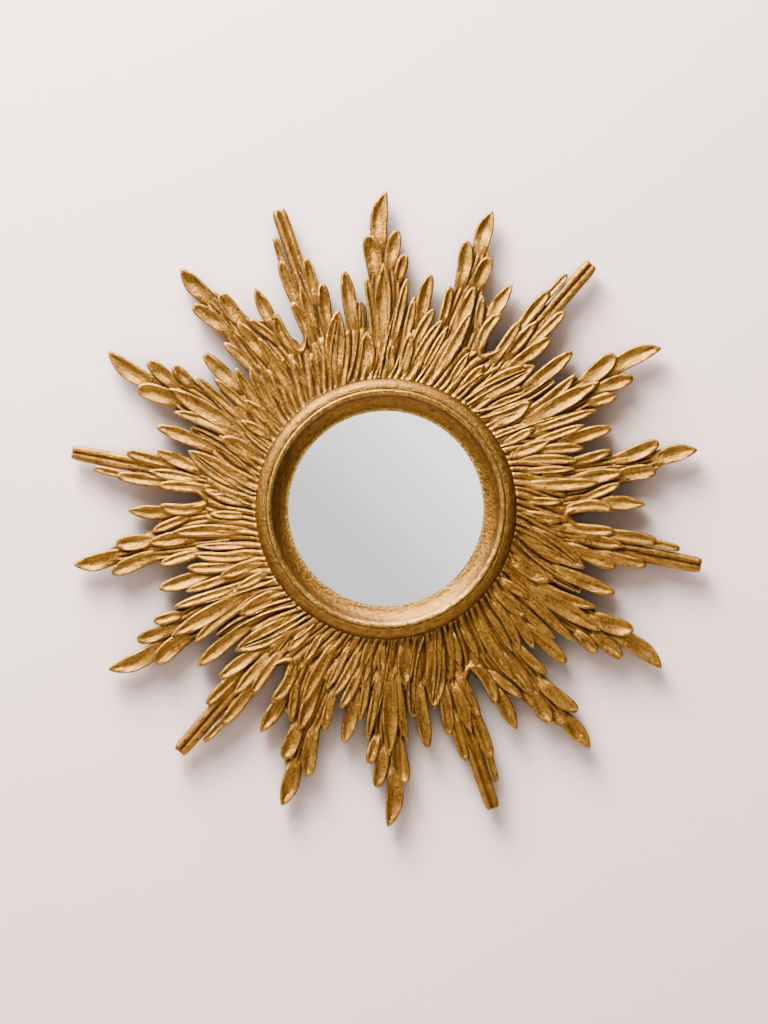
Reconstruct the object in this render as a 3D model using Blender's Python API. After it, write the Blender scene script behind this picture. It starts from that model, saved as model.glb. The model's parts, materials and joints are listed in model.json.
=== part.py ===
"""Carved giltwood sunburst wall mirror, at its real size.

Metres, +Z up. The mirror faces -Y and its flat back lies on the plane Y = 0, where the wall is. The origin
is the middle of the back. Depths are measured from the wall towards the viewer.
"""

import math
from collections import namedtuple

import bmesh
import bpy
from mathutils import Matrix, Vector

# Driving dimensions
GLASS_RADIUS = 0.100
GLASS_THICKNESS = 0.004
GLASS_CLEARANCE = 0.001
LIP_WIDTH = 0.0025
LIP_THICKNESS = 0.002
COVE_WIDTH = 0.0175
BEAD_WIDTH = 0.0036
ROLL_WIDTH = 0.0114
ROLL_WALL = 0.003
ROLL_RISE = 0.0105
BEAD_RISE = 0.0125
QUIRK_DEPTH = 0.002
SEAT_WIDTH = 0.011
SEAT_SINK = 0.0008
RAY_LENGTH = 0.189
ROOT_THICKNESS = 0.022
TIP_THICKNESS = 0.0105
GROUND_WIDTH = 0.053
GROUND_BEVEL = 0.003
VALLEY_DEPTH = 0.0055
TIP_STANDOFF = 0.002
BOARD_OVERLAP = 0.010
BOARD_THICKNESS = 0.008
BOARD_STEP_HEIGHT = 0.0075
BOARD_BEVEL = 0.002
KEYHOLE_DROP = 0.022
KEYHOLE_HEAD_RADIUS = 0.006
KEYHOLE_SLOT_RADIUS = 0.0025
KEYHOLE_SLOT_LENGTH = 0.012
KEYHOLE_FLOOR = 0.003
GAP = 0.0003

# Sizes that follow from them
SIGHT_RADIUS = GLASS_RADIUS - LIP_WIDTH
REBATE_RADIUS = GLASS_RADIUS + GLASS_CLEARANCE
BEAD_INNER_RADIUS = SIGHT_RADIUS + COVE_WIDTH
BEAD_OUTER_RADIUS = BEAD_INNER_RADIUS + BEAD_WIDTH
RING_RADIUS = BEAD_OUTER_RADIUS + ROLL_WIDTH
SPIGOT_RADIUS = RING_RADIUS - SEAT_WIDTH
REACH = RING_RADIUS + RAY_LENGTH
BOARD_RADIUS = RING_RADIUS + BOARD_OVERLAP
KEYHOLE_HEIGHT = BOARD_RADIUS - KEYHOLE_DROP
KEYHOLE_DEPTH = BOARD_THICKNESS - KEYHOLE_FLOOR
CARVING_BACK = BOARD_THICKNESS + GAP
LAND_DEPTH = CARVING_BACK + ROOT_THICKNESS - VALLEY_DEPTH - SEAT_SINK
GLASS_BACK = BOARD_THICKNESS + BOARD_STEP_HEIGHT + GAP
GLASS_FRONT = GLASS_BACK + GLASS_THICKNESS
LIP_BACK = GLASS_FRONT + GAP
LIP_FRONT = LIP_BACK + LIP_THICKNESS
RING_SEAT = LAND_DEPTH + GAP
ROLL_BASE = RING_SEAT + ROLL_WALL

SECTORS = 6
ROUND_STEPS = 48
ROLL_STEPS = 5
BEAD_STEPS = 3
COVE_STEPS = 5
KEYHOLE_HEAD_STEPS = 16
KEYHOLE_SLOT_STEPS = 6
ROLL_END_ANGLE = 142
SHARP_ANGLE = math.radians(35)

# How far a solid reaches past the surface that trims it, and a cutter past what it cuts.
BURIED = 0.004
CUTTER_ROOM = 0.03

# The carver's drawing of one sector, full size in millimetres: across and out from the centre.
# It is stretched along the radius from the drawing's ring and reach to the real ones.
DRAWN_RING = 130.0
DRAWN_REACH = 319.0
MILLIMETRE = 0.001

# How a leaf is cut: its widest place and root width as shares of its length and width, and the depth of its
# scoop as a share of its width. The tip dips over the last fifth.
BELLY = 0.62
ROOT_SHARE = 0.45
SCOOP_SHARE = 0.2
SCOOP_RUN = 1.15
TIP_SCOOP = 0.3
ROOT_LIFT = -1.5
TIP_DROP = 1.2
TIP_DROP_START = 0.8
TIP_WIDTH_SHARE = 0.16
SQUARE_TIP_WIDTH_SHARE = 0.8
SQUARE_POINT = 5
THINNING = 0.8
LEAF_STATIONS = (0.0, 0.45, 0.82, 1.0)

# How a rib is cut: its crest above the slope, its foot below, and its width at both ends.
RIB_RISE = 1.2
RIB_FOOT_DROP = 6.0
RIB_START_SHARE = 1.15
RIB_END_SHARE = 0.65
RIB_STATIONS = (0.0, 0.5, 1.0)

# The unevenness of handwork: millimetres, waves round the circle and phase. It fades in from the ring.
OUTWARD_WAVES = ((1.1, 2, 1.0), (0.8, 5, 2.2))
SIDEWAYS_WAVES = ((0.9, 3, 0.4), (0.6, 7, 1.3))
WAVE_FADE = RAY_LENGTH / 3

# The share of the joined carving's faces that is kept.
CARVING_MESH_SHARE = 0.22

# point: 1 makes a sharp tip, 2 a round one and 7 a square one. bow is how far the middle bends to the left,
# and lift how far the tip stands above the general slope of the carving.
Leaf = namedtuple("Leaf", "root tip bow width point lift")
CORES = (
    Leaf((-60, 150), (-92, 244), 0, 26, 2.4, -4.5),
    Leaf((-4, 150), (-1, 252), 0, 32, 2.4, -4.5),
    Leaf((52, 150), (92, 240), 0, 32, 2.4, -4.5),
    Leaf((-28, 150), (-26.5, 209), 0, 15, 3, -3),
    Leaf((22, 150), (24, 206), 0, 12, 2.4, -3),
    Leaf((78, 150), (99.5, 204), 0, 18, 2.4, -3.5),
    Leaf((80, 205), (97, 264), 0, 20, 2.4, -3),
)
REED_RAY = (
    Leaf((-75, 205), (-108, 300.5), 0, 15.8, 7, 2),
    Leaf((-98, 230), (-111.3, 273.5), 0, 8.5, 3, 2.6),
    Leaf((-65, 195), (-80.5, 252.5), 0, 12, 2.4, 3),
    Leaf((-79, 186), (-105.5, 249), 1.4, 12.8, 3, 3.4),
    Leaf((-57, 165), (-64, 227), 0, 13.5, 2.4, 3),
    Leaf((-66, 168), (-86, 224), 0, 12.5, 1.5, 3.6),
    Leaf((-70, 155), (-93.5, 207.5), -1.6, 12, 2.4, 4),
)
FLAME_RAY = (
    Leaf((-3, 250), (-0.7, 319), 6.4, 18.2, 1.5, 2),
    Leaf((-11, 225), (-19.5, 275), -2.5, 18, 2.2, 3),
    Leaf((0, 232), (10, 279.5), 0, 14.5, 2.4, 3),
    Leaf((9, 222), (18, 255.5), 0, 12.5, 2.2, 3.8),
    Leaf((-13, 150), (-21, 231), -4.8, 12, 1.9, 3),
    Leaf((3, 150), (20, 230.5), 0, 10, 2, 3.6),
    Leaf((-5, 150), (-3, 247), 0, 17, 1.5, 4.4),
)
LEAF_RAY = (
    Leaf((92, 245), (106, 298), 3.2, 18, 1.4, 2),
    Leaf((70, 212), (79, 268.5), -2.5, 15.5, 2.4, 3),
    Leaf((87, 208), (103.5, 250.5), 2, 16, 2.4, 3.4),
    Leaf((49, 172), (62.7, 222.5), -2, 11, 2.2, 3),
    Leaf((22, 128), (55, 188), 3, 10.5, 2, 3),
    Leaf((89, 165), (95.5, 213), 0, 10, 2, 3),
    Leaf((65, 160), (87.5, 221.5), 0.5, 14.6, 1.8, 4),
    Leaf((44, 124), (84, 196), -1.7, 13, 1.8, 4.4),
)
SPRIGS = (
    Leaf((-33, 168), (-42.3, 239.5), -1.5, 14.5, 2, 3),
    Leaf((31, 168), (43.7, 234.5), 2.2, 14.5, 2.2, 3),
    Leaf((23, 150), (46.8, 199.5), 1.8, 11.5, 2, 4),
    Leaf((15, 150), (27.3, 212.5), 0, 9.5, 2, 3.4),
    Leaf((97, 178), (126.3, 224.5), 1, 14.6, 1.4, 2.6),
    Leaf((93, 143), (114.5, 193.5), 7.9, 12.5, 2.4, 4),
)
FEET = (
    Leaf((60, 119), (82.5, 155), 0, 9, 1.6, 2.6),
    Leaf((70, 113), (98, 143), 0, 11, 1.6, 2.6),
    Leaf((33, 127), (61, 182), 1, 8, 1.6, 2.6),
    Leaf((3.5, 127), (5, 169), 0, 10, 1.6, 2.6),
    Leaf((15, 127), (23.5, 176), 0, 13, 1.6, 2.6),
    Leaf((-20, 127), (-19, 178), 0, 17, 1.5, 3),
    Leaf((-50, 120), (-48, 200), 1.5, 21, 1.5, 2.6),
)
# Narrow ribs between the leaves: where each starts at the ring and ends, its bow and its width.
Rib = namedtuple("Rib", "foot end bow width")
RIBS = (
    Rib((-54, 121), (-49.5, 190), 3, 5),
    Rib((-49, 121), (-47, 190), 1.5, 5),
    Rib((-38.5, 126), (-31, 206), -5.5, 5.5),
    Rib((-31, 126), (-25, 209), -5, 5.5),
    Rib((-7, 126), (16, 225), 2.5, 5),
    Rib((-64, 118), (-68, 152), 1, 5),
)


def clear_scene():
    for obj in list(bpy.data.objects):
        bpy.data.objects.remove(obj, do_unlink=True)


def material(name, colour, roughness, metallic):
    made = bpy.data.materials.new(name)
    made.use_nodes = True
    shader = made.node_tree.nodes["Principled BSDF"]
    shader.inputs["Base Color"].default_value = (*colour, 1.0)
    shader.inputs["Roughness"].default_value = roughness
    shader.inputs["Metallic"].default_value = metallic
    made.diffuse_color = (*colour, 1.0)
    return made


def new_object(name, bm, finish=None):
    bmesh.ops.triangulate(bm, faces=bm.faces)
    bmesh.ops.recalc_face_normals(bm, faces=bm.faces)
    mesh = bpy.data.meshes.new(name)
    bm.to_mesh(mesh)
    bm.free()
    obj = bpy.data.objects.new(name, mesh)
    bpy.context.scene.collection.objects.link(obj)
    if finish:
        mesh.materials.append(finish)
    return obj


def hide_helper(obj):
    obj.hide_render = True
    obj.display_type = "WIRE"


def realised(obj):
    """The mesh of the object with its modifiers worked in."""
    graph = bpy.context.evaluated_depsgraph_get()
    return bpy.data.meshes.new_from_object(obj.evaluated_get(graph))


def turned(name, profile, finish=None):
    """A solid of revolution about the Y axis, from (radius, depth) points. The profile either runs round a
    ring's section or starts and ends on the axis."""
    bm = bmesh.new()
    corners = [bm.verts.new((radius, -depth, 0)) for radius, depth in profile]
    edges = [bm.edges.new((a, b)) for a, b in zip(corners, corners[1:])]
    if profile[0][0] > 0:
        edges.append(bm.edges.new((corners[-1], corners[0])))
    bmesh.ops.spin(
        bm,
        geom=corners + edges,
        axis=(0, 1, 0),
        cent=(0, 0, 0),
        angle=2 * math.pi,
        steps=ROUND_STEPS,
    )
    bmesh.ops.remove_doubles(bm, verts=bm.verts, dist=1e-6)
    return new_object(name, bm, finish)


def arc(centre, radii, start, end, steps):
    """Points on an ellipse's arc about the centre, with angles in degrees."""
    angles = [math.radians(start + (end - start) * i / steps) for i in range(steps + 1)]
    return [
        (centre[0] + radii[0] * math.cos(a), centre[1] + radii[1] * math.sin(a))
        for a in angles
    ]


def share_out(across, out):
    """How far out a point of the drawing lies: 0 at the ring, 1 at the longest tip."""
    return (math.hypot(across, out) - DRAWN_RING) / (DRAWN_REACH - DRAWN_RING)


def crest_thickness(share):
    """Thickness of the carving at its crests, which thins from the ring to the tips."""
    return ROOT_THICKNESS + (TIP_THICKNESS - ROOT_THICKNESS) * max(share, 0) ** THINNING


def carved_point(across, out, raised, turn):
    """The drawing's point on the real carving: raised by so many millimetres above the crest line, in the
    sector that is turned by so many radians from the top one."""
    share = share_out(across, out)
    scale = (RING_RADIUS + share * RAY_LENGTH) / math.hypot(across, out)
    depth = CARVING_BACK + crest_thickness(share) + raised * MILLIMETRE
    place = Matrix.Rotation(-turn, 3, "Y") @ Vector((across * scale, -depth, out * scale))
    return place + hand_shift(place)


def leaf_line(root, tip, bow, s):
    """A point of the bowed middle line and the direction to its left."""
    a, b = Vector(root), Vector(tip)
    left = Vector((a.y - b.y, b.x - a.x)).normalized()
    bend = (a + b) / 2 + left * 2 * bow
    point = a * (1 - s) ** 2 + bend * 2 * s * (1 - s) + b * s * s
    run = (bend - a) * (1 - s) + (b - bend) * s
    return point, Vector((-run.y, run.x)).normalized()


def leaf_width_share(s, point):
    """Half-width of a leaf along its length: widest at the belly and closed at the tip as point says."""
    if s < BELLY:
        return ROOT_SHARE + (1 - ROOT_SHARE) * math.sin(math.pi / 2 * s / BELLY)
    q = (s - BELLY) / (1 - BELLY)
    blunt = TIP_WIDTH_SHARE if point < SQUARE_POINT else SQUARE_TIP_WIDTH_SHARE
    return max((1 - q**point) ** (1 / point), blunt)


def loft(bm, sections):
    """Joins rings of points into one closed skin with flat ends."""
    rings = [[bm.verts.new(point) for point in section] for section in sections]
    for ring, following in zip(rings, rings[1:]):
        for i, corner in enumerate(ring):
            j = (i + 1) % len(ring)
            bm.faces.new((corner, ring[j], following[j], following[i]))
    bm.faces.new(list(reversed(rings[0])))
    bm.faces.new(rings[-1])


def block_section(centre, half, heights, top, turn):
    """Five points across a leaf or rib: left edge, middle and right edge at their heights, and two behind
    the carving's back."""
    buried = top - (ROOT_THICKNESS + BURIED) / MILLIMETRE
    points = []
    for side, height in zip((1, 0, -1, -1, 1), heights + (buried, buried)):
        place = centre + half * side
        points.append(carved_point(place.x, place.y, height, turn))
    return points


def leaf_solid(name, leaf, turn):
    """A scooped leaf between two rims, as a block that reaches behind the carving's back."""
    bm = bmesh.new()
    sections = []
    for s in LEAF_STATIONS:
        centre, left = leaf_line(leaf.root, leaf.tip, leaf.bow, s)
        half = leaf.width / 2 * leaf_width_share(s, leaf.point)
        rim = ROOT_LIFT + (leaf.lift - ROOT_LIFT) * s
        rim -= TIP_DROP * max(0, s - TIP_DROP_START) / (1 - TIP_DROP_START)
        scoop = SCOOP_SHARE * leaf.width * math.sin(math.pi * min(1, s * SCOOP_RUN)) ** 0.5
        heights = (rim, rim - max(scoop, TIP_SCOOP), rim)
        sections.append(block_section(centre, left * half, heights, rim, turn))
    loft(bm, sections)
    return new_object(name, bm)


def rib_solid(name, rib, turn):
    """A narrow rib of triangular section."""
    bm = bmesh.new()
    sections = []
    for s in RIB_STATIONS:
        centre, left = leaf_line(rib.foot, rib.end, rib.bow, s)
        half = rib.width / 2 * (RIB_START_SHARE + (RIB_END_SHARE - RIB_START_SHARE) * s)
        heights = (-RIB_FOOT_DROP, RIB_RISE, -RIB_FOOT_DROP)
        sections.append(block_section(centre, left * half, heights, 0, turn))
    loft(bm, sections)
    return new_object(name, bm)


def hand_shift(place):
    """The slight unevenness of hand carving, which fades out towards the ring."""
    angle = math.atan2(place.z, place.x)
    radius = math.hypot(place.x, place.z)
    fade = min(1.0, max(0.0, (radius - RING_RADIUS) / WAVE_FADE))
    outward = sum(size * math.sin(waves * angle + phase) for size, waves, phase in OUTWARD_WAVES)
    sideways = sum(size * math.sin(waves * angle + phase) for size, waves, phase in SIDEWAYS_WAVES)
    direction = Vector((math.cos(angle), 0, math.sin(angle)))
    across = Vector((-math.sin(angle), 0, math.cos(angle)))
    return (direction * outward + across * sideways) * fade * MILLIMETRE


def one_sector(turn):
    """All leaves and ribs of the sector at this turn, united into one mesh."""
    leaves = CORES + REED_RAY + FLAME_RAY + LEAF_RAY + SPRIGS + FEET
    solids = [leaf_solid(f"leaf_{i}", leaf, turn) for i, leaf in enumerate(leaves)]
    solids += [rib_solid(f"rib_{i}", rib, turn) for i, rib in enumerate(RIBS)]
    group = bpy.data.collections.new("sector_leaves")
    for solid in solids[1:]:
        group.objects.link(solid)
    join = solids[0].modifiers.new("leaves", "BOOLEAN")
    join.operation = "UNION"
    join.operand_type = "COLLECTION"
    join.collection = group
    mesh = realised(solids[0])
    for solid in solids:
        bpy.data.objects.remove(solid, do_unlink=True)
    bpy.data.collections.remove(group)
    return mesh


def ground():
    """The coned disc that the leaves near the ring grow from."""
    inner = SPIGOT_RADIUS - BURIED
    outer = RING_RADIUS + GROUND_WIDTH
    edge_share = GROUND_WIDTH / RAY_LENGTH
    root_front = CARVING_BACK + ROOT_THICKNESS - VALLEY_DEPTH
    edge_front = CARVING_BACK + crest_thickness(edge_share) - VALLEY_DEPTH
    buried = CARVING_BACK - BURIED
    profile = [
        (inner, root_front),
        (RING_RADIUS, root_front),
        (outer - GROUND_BEVEL, edge_front),
        (outer, edge_front - GROUND_BEVEL),
        (outer, buried),
        (inner, buried),
    ]
    return turned("sunburst", profile)


def back_and_bore():
    """One turned cutter: the ring's seat and bore, and the back, which lifts a little towards the tips."""
    far = LAND_DEPTH + ROOT_THICKNESS + CUTTER_ROOM
    wide = REACH + CUTTER_ROOM
    hole = SPIGOT_RADIUS + GAP
    seat = RING_RADIUS + GAP
    flat_end = RING_RADIUS + GROUND_WIDTH + BURIED
    profile = [
        (0, far),
        (seat, far),
        (seat, LAND_DEPTH),
        (hole, LAND_DEPTH),
        (hole, CARVING_BACK),
        (flat_end, CARVING_BACK),
        (wide, CARVING_BACK + TIP_STANDOFF),
        (wide, -CUTTER_ROOM),
        (0, -CUTTER_ROOM),
    ]
    cutter = turned("back_and_bore", profile)
    hide_helper(cutter)
    return cutter


def sunburst(finish):
    group = bpy.data.collections.new("sectors")
    sectors = []
    for k in range(SECTORS):
        mesh = one_sector(k * 2 * math.pi / SECTORS)
        sector = bpy.data.objects.new(f"sector_{k}", mesh)
        group.objects.link(sector)
        sectors.append(sector)
    bpy.context.scene.collection.children.link(group)
    carving = ground()
    join = carving.modifiers.new("sectors", "BOOLEAN")
    join.operation = "UNION"
    join.operand_type = "COLLECTION"
    join.collection = group
    thin = carving.modifiers.new("thinned", "DECIMATE")
    thin.ratio = CARVING_MESH_SHARE
    cut = carving.modifiers.new("back and bore", "BOOLEAN")
    cut.operation = "DIFFERENCE"
    cut.solver = "MANIFOLD"
    cut.object = back_and_bore()
    mesh = realised(carving)
    carving.modifiers.clear()
    carving.data = mesh
    for sector in sectors:
        bpy.data.objects.remove(sector, do_unlink=True)
    bpy.data.collections.remove(group)
    mesh.materials.append(finish)
    mesh.set_sharp_from_angle(angle=SHARP_ANGLE)
    return carving


def ring_moulding(finish):
    """The turned ring: outer roll, quirk, bead and deep cove, with a spigot that drops into the carving."""
    bead_centre = (BEAD_INNER_RADIUS + BEAD_OUTER_RADIUS) / 2
    bead_base = ROLL_BASE + BEAD_RISE - BEAD_WIDTH / 2
    roll_centre = (BEAD_OUTER_RADIUS + RING_RADIUS) / 2
    roll = arc((roll_centre, ROLL_BASE), (ROLL_WIDTH / 2, ROLL_RISE), 0, ROLL_END_ANGLE, ROLL_STEPS)
    bead = arc((bead_centre, bead_base), (BEAD_WIDTH / 2, BEAD_WIDTH / 2), 0, 180, BEAD_STEPS)
    cove_rise = bead_base - LIP_FRONT
    cove = arc((SIGHT_RADIUS, bead_base), (COVE_WIDTH, cove_rise), 0, -90, COVE_STEPS)
    profile = (
        [(SPIGOT_RADIUS, CARVING_BACK), (SPIGOT_RADIUS, RING_SEAT), (RING_RADIUS, RING_SEAT)]
        + roll
        + [(BEAD_OUTER_RADIUS, bead_base - QUIRK_DEPTH)]
        + bead
        + cove[1:]
        + [(SIGHT_RADIUS, LIP_BACK), (REBATE_RADIUS, LIP_BACK), (REBATE_RADIUS, CARVING_BACK)]
    )
    ring = turned("ring_moulding", profile, finish)
    ring.data.set_sharp_from_angle(angle=SHARP_ANGLE)
    return ring


def mirror_glass(finish):
    profile = [(0, GLASS_FRONT), (GLASS_RADIUS, GLASS_FRONT), (GLASS_RADIUS, GLASS_BACK), (0, GLASS_BACK)]
    return turned("mirror_glass", profile, finish)


def backing_board(finish):
    """A round board, stepped to fill the rebate behind the glass, with a blind keyhole to hang it by."""
    step_radius = REBATE_RADIUS - GAP
    profile = [
        (0, BOARD_THICKNESS + BOARD_STEP_HEIGHT),
        (step_radius, BOARD_THICKNESS + BOARD_STEP_HEIGHT),
        (step_radius, BOARD_THICKNESS),
        (BOARD_RADIUS, BOARD_THICKNESS),
        (BOARD_RADIUS, BOARD_BEVEL),
        (BOARD_RADIUS - BOARD_BEVEL, 0),
        (0, 0),
    ]
    board = turned("backing_board", profile, finish)
    cut = board.modifiers.new("keyhole", "BOOLEAN")
    cut.operation = "DIFFERENCE"
    cut.object = keyhole_cutter()
    return board


def keyhole_cutter():
    """A round hole with a narrow slot above it, drawn clockwise and extruded into the board."""
    lean = math.degrees(math.asin(KEYHOLE_SLOT_RADIUS / KEYHOLE_HEAD_RADIUS))
    head_radii = (KEYHOLE_HEAD_RADIUS, KEYHOLE_HEAD_RADIUS)
    slot_radii = (KEYHOLE_SLOT_RADIUS, KEYHOLE_SLOT_RADIUS)
    head = arc((0, KEYHOLE_HEIGHT), head_radii, 90 - lean, lean - 270, KEYHOLE_HEAD_STEPS)
    slot = arc((0, KEYHOLE_HEIGHT + KEYHOLE_SLOT_LENGTH), slot_radii, 180, 0, KEYHOLE_SLOT_STEPS)
    bm = bmesh.new()
    face = bm.faces.new([bm.verts.new((x, BURIED, z)) for x, z in head + slot])
    pushed = bmesh.ops.extrude_face_region(bm, geom=[face])
    corners = [item for item in pushed["geom"] if isinstance(item, bmesh.types.BMVert)]
    bmesh.ops.translate(bm, verts=corners, vec=(0, -BURIED - KEYHOLE_DEPTH, 0))
    cutter = new_object("keyhole_cutter", bm)
    hide_helper(cutter)
    return cutter


def main():
    clear_scene()
    gilding = material("worn_gilding", (0.46, 0.26, 0.07), 0.42, 0.6)
    ring_gilding = material("ring_gilding", (0.50, 0.28, 0.08), 0.36, 0.6)
    silvered_glass = material("silvered_glass", (0.85, 0.86, 0.86), 0.03, 1.0)
    pine = material("aged_pine", (0.30, 0.19, 0.10), 0.8, 0.0)
    sunburst(gilding)
    ring_moulding(ring_gilding)
    mirror_glass(silvered_glass)
    backing_board(pine)


main()
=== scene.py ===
"""Looks of the carved giltwood sunburst mirror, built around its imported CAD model.

Metres, +Z up. The mirror faces -Y and its back lies on the plane Y = 0, where the wall is. Depths are
measured from the wall towards the viewer. The carver's drawing of a sector is in millimetres.
"""

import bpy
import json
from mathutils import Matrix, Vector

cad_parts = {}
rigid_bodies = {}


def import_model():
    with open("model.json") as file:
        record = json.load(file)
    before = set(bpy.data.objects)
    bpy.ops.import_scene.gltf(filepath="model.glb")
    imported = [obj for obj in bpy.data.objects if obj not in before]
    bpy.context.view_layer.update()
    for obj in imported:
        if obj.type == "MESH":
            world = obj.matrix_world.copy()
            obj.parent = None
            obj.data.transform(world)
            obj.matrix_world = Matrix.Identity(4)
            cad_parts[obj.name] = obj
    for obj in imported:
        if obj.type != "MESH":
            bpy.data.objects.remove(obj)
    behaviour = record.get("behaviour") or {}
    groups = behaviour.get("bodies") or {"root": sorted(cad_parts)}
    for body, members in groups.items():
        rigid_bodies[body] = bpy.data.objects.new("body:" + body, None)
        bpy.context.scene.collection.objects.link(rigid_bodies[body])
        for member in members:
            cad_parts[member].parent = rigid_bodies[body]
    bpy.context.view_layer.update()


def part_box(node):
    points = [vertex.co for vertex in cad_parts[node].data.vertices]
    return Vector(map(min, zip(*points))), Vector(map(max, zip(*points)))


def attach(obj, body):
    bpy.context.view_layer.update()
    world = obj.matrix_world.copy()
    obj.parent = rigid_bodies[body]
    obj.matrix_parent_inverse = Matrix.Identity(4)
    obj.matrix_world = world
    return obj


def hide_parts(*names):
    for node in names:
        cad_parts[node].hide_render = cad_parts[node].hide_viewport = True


bl_info = {
    "name": "Sunburst Mirror",
    "version": (1, 0, 0),
    "blender": (4, 5, 0),
    "location": "3D View > Sidebar > Mirror",
    "description": "Carves, turns and gilds a sunburst wall mirror around its CAD frame",
    "category": "Object",
}

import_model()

import json
import math
from collections import namedtuple

import bpy
import numpy as np
from mathutils import Vector

MILLIMETRE = 0.001
BODY = "root"
SECTORS = 6

# Places that the CAD model settles
RING_LOW, RING_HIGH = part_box("ring_moulding")
CARVING_LOW, CARVING_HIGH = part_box("sunburst")
GLASS_LOW, GLASS_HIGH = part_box("mirror_glass")
BOARD_LOW, BOARD_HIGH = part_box("backing_board")
RING_RADIUS = (RING_HIGH.x - RING_LOW.x) / 2
RING_FRONT = -RING_LOW.y
CARVING_BACK = -CARVING_HIGH.y
GLASS_RADIUS = (GLASS_HIGH.x - GLASS_LOW.x) / 2
GLASS_FRONT = -GLASS_LOW.y
GLASS_BACK = -GLASS_HIGH.y
BOARD_RADIUS = (BOARD_HIGH.x - BOARD_LOW.x) / 2
BOARD_FRONT = -BOARD_LOW.y
GAP = 0.0003

# The carver's drawing of one sector: across and out from the centre, as in the CAD source.
# point: 1 makes a sharp tip, 2 a round one and 7 a square one. bow is how far the middle bends to the left,
# and lift how far the tip stands above the general slope of the carving.
DRAWN_RING = 130.0
DRAWN_REACH = 319.0
RAY_LENGTH = 0.189
Leaf = namedtuple("Leaf", "root tip bow width point lift")
CORES = (
    Leaf((-60, 150), (-92, 244), 0, 26, 2.4, -4.5),
    Leaf((-4, 150), (-1, 252), 0, 32, 2.4, -4.5),
    Leaf((52, 150), (92, 240), 0, 32, 2.4, -4.5),
    Leaf((-28, 150), (-26.5, 209), 0, 15, 3, -3),
    Leaf((22, 150), (24, 206), 0, 12, 2.4, -3),
    Leaf((78, 150), (99.5, 204), 0, 18, 2.4, -3.5),
    Leaf((80, 205), (97, 264), 0, 20, 2.4, -3),
)
REED_RAY = (
    Leaf((-75, 205), (-108, 300.5), 0, 15.8, 7, 2),
    Leaf((-98, 230), (-111.3, 273.5), 0, 8.5, 3, 2.6),
    Leaf((-65, 195), (-80.5, 252.5), 0, 12, 2.4, 3),
    Leaf((-79, 186), (-105.5, 249), 1.4, 12.8, 3, 3.4),
    Leaf((-57, 165), (-64, 227), 0, 13.5, 2.4, 3),
    Leaf((-66, 168), (-86, 224), 0, 12.5, 1.5, 3.6),
    Leaf((-70, 155), (-93.5, 207.5), -1.6, 12, 2.4, 4),
)
FLAME_RAY = (
    Leaf((-3, 250), (-0.7, 319), 6.4, 18.2, 1.5, 2),
    Leaf((-11, 225), (-19.5, 275), -2.5, 18, 2.2, 3),
    Leaf((0, 232), (10, 279.5), 0, 14.5, 2.4, 3),
    Leaf((9, 222), (18, 255.5), 0, 12.5, 2.2, 3.8),
    Leaf((-13, 150), (-21, 231), -4.8, 12, 1.9, 3),
    Leaf((3, 150), (20, 230.5), 0, 10, 2, 3.6),
    Leaf((-5, 150), (-3, 247), 0, 17, 1.5, 4.4),
)
LEAF_RAY = (
    Leaf((92, 245), (106, 298), 3.2, 18, 1.4, 2),
    Leaf((70, 212), (79, 268.5), -2.5, 15.5, 2.4, 3),
    Leaf((87, 208), (103.5, 250.5), 2, 16, 2.4, 3.4),
    Leaf((49, 172), (62.7, 222.5), -2, 11, 2.2, 3),
    Leaf((22, 128), (55, 188), 3, 10.5, 2, 3),
    Leaf((89, 165), (95.5, 213), 0, 10, 2, 3),
    Leaf((65, 160), (87.5, 221.5), 0.5, 14.6, 1.8, 4),
    Leaf((44, 124), (84, 196), -1.7, 13, 1.8, 4.4),
)
SPRIGS = (
    Leaf((-33, 168), (-42.3, 239.5), -1.5, 14.5, 2, 3),
    Leaf((31, 168), (43.7, 234.5), 2.2, 14.5, 2.2, 3),
    Leaf((23, 150), (46.8, 199.5), 1.8, 11.5, 2, 4),
    Leaf((15, 150), (27.3, 212.5), 0, 9.5, 2, 3.4),
    Leaf((97, 178), (126.3, 224.5), 1, 14.6, 1.4, 2.6),
    Leaf((93, 143), (114.5, 193.5), 7.9, 12.5, 2.4, 4),
)
FEET = (
    Leaf((60, 119), (82.5, 155), 0, 9, 1.6, 2.6),
    Leaf((70, 113), (98, 143), 0, 11, 1.6, 2.6),
    Leaf((33, 127), (61, 182), 1, 8, 1.6, 2.6),
    Leaf((3.5, 127), (5, 169), 0, 10, 1.6, 2.6),
    Leaf((15, 127), (23.5, 176), 0, 13, 1.6, 2.6),
    Leaf((-20, 127), (-19, 178), 0, 17, 1.5, 3),
    Leaf((-50, 120), (-48, 200), 1.5, 21, 1.5, 2.6),
)
Rib = namedtuple("Rib", "foot end bow width")
RIBS = (
    Rib((-54, 121), (-49.5, 190), 3, 5),
    Rib((-49, 121), (-47, 190), 1.5, 5),
    Rib((-38.5, 126), (-31, 206), -5.5, 5.5),
    Rib((-31, 126), (-25, 209), -5, 5.5),
    Rib((-7, 126), (16, 225), 2.5, 5),
    Rib((-64, 118), (-68, 152), 1, 5),
    Rib((-99.5, 174.2), (-79.5, 179.6), -20, 11),
)

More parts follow.
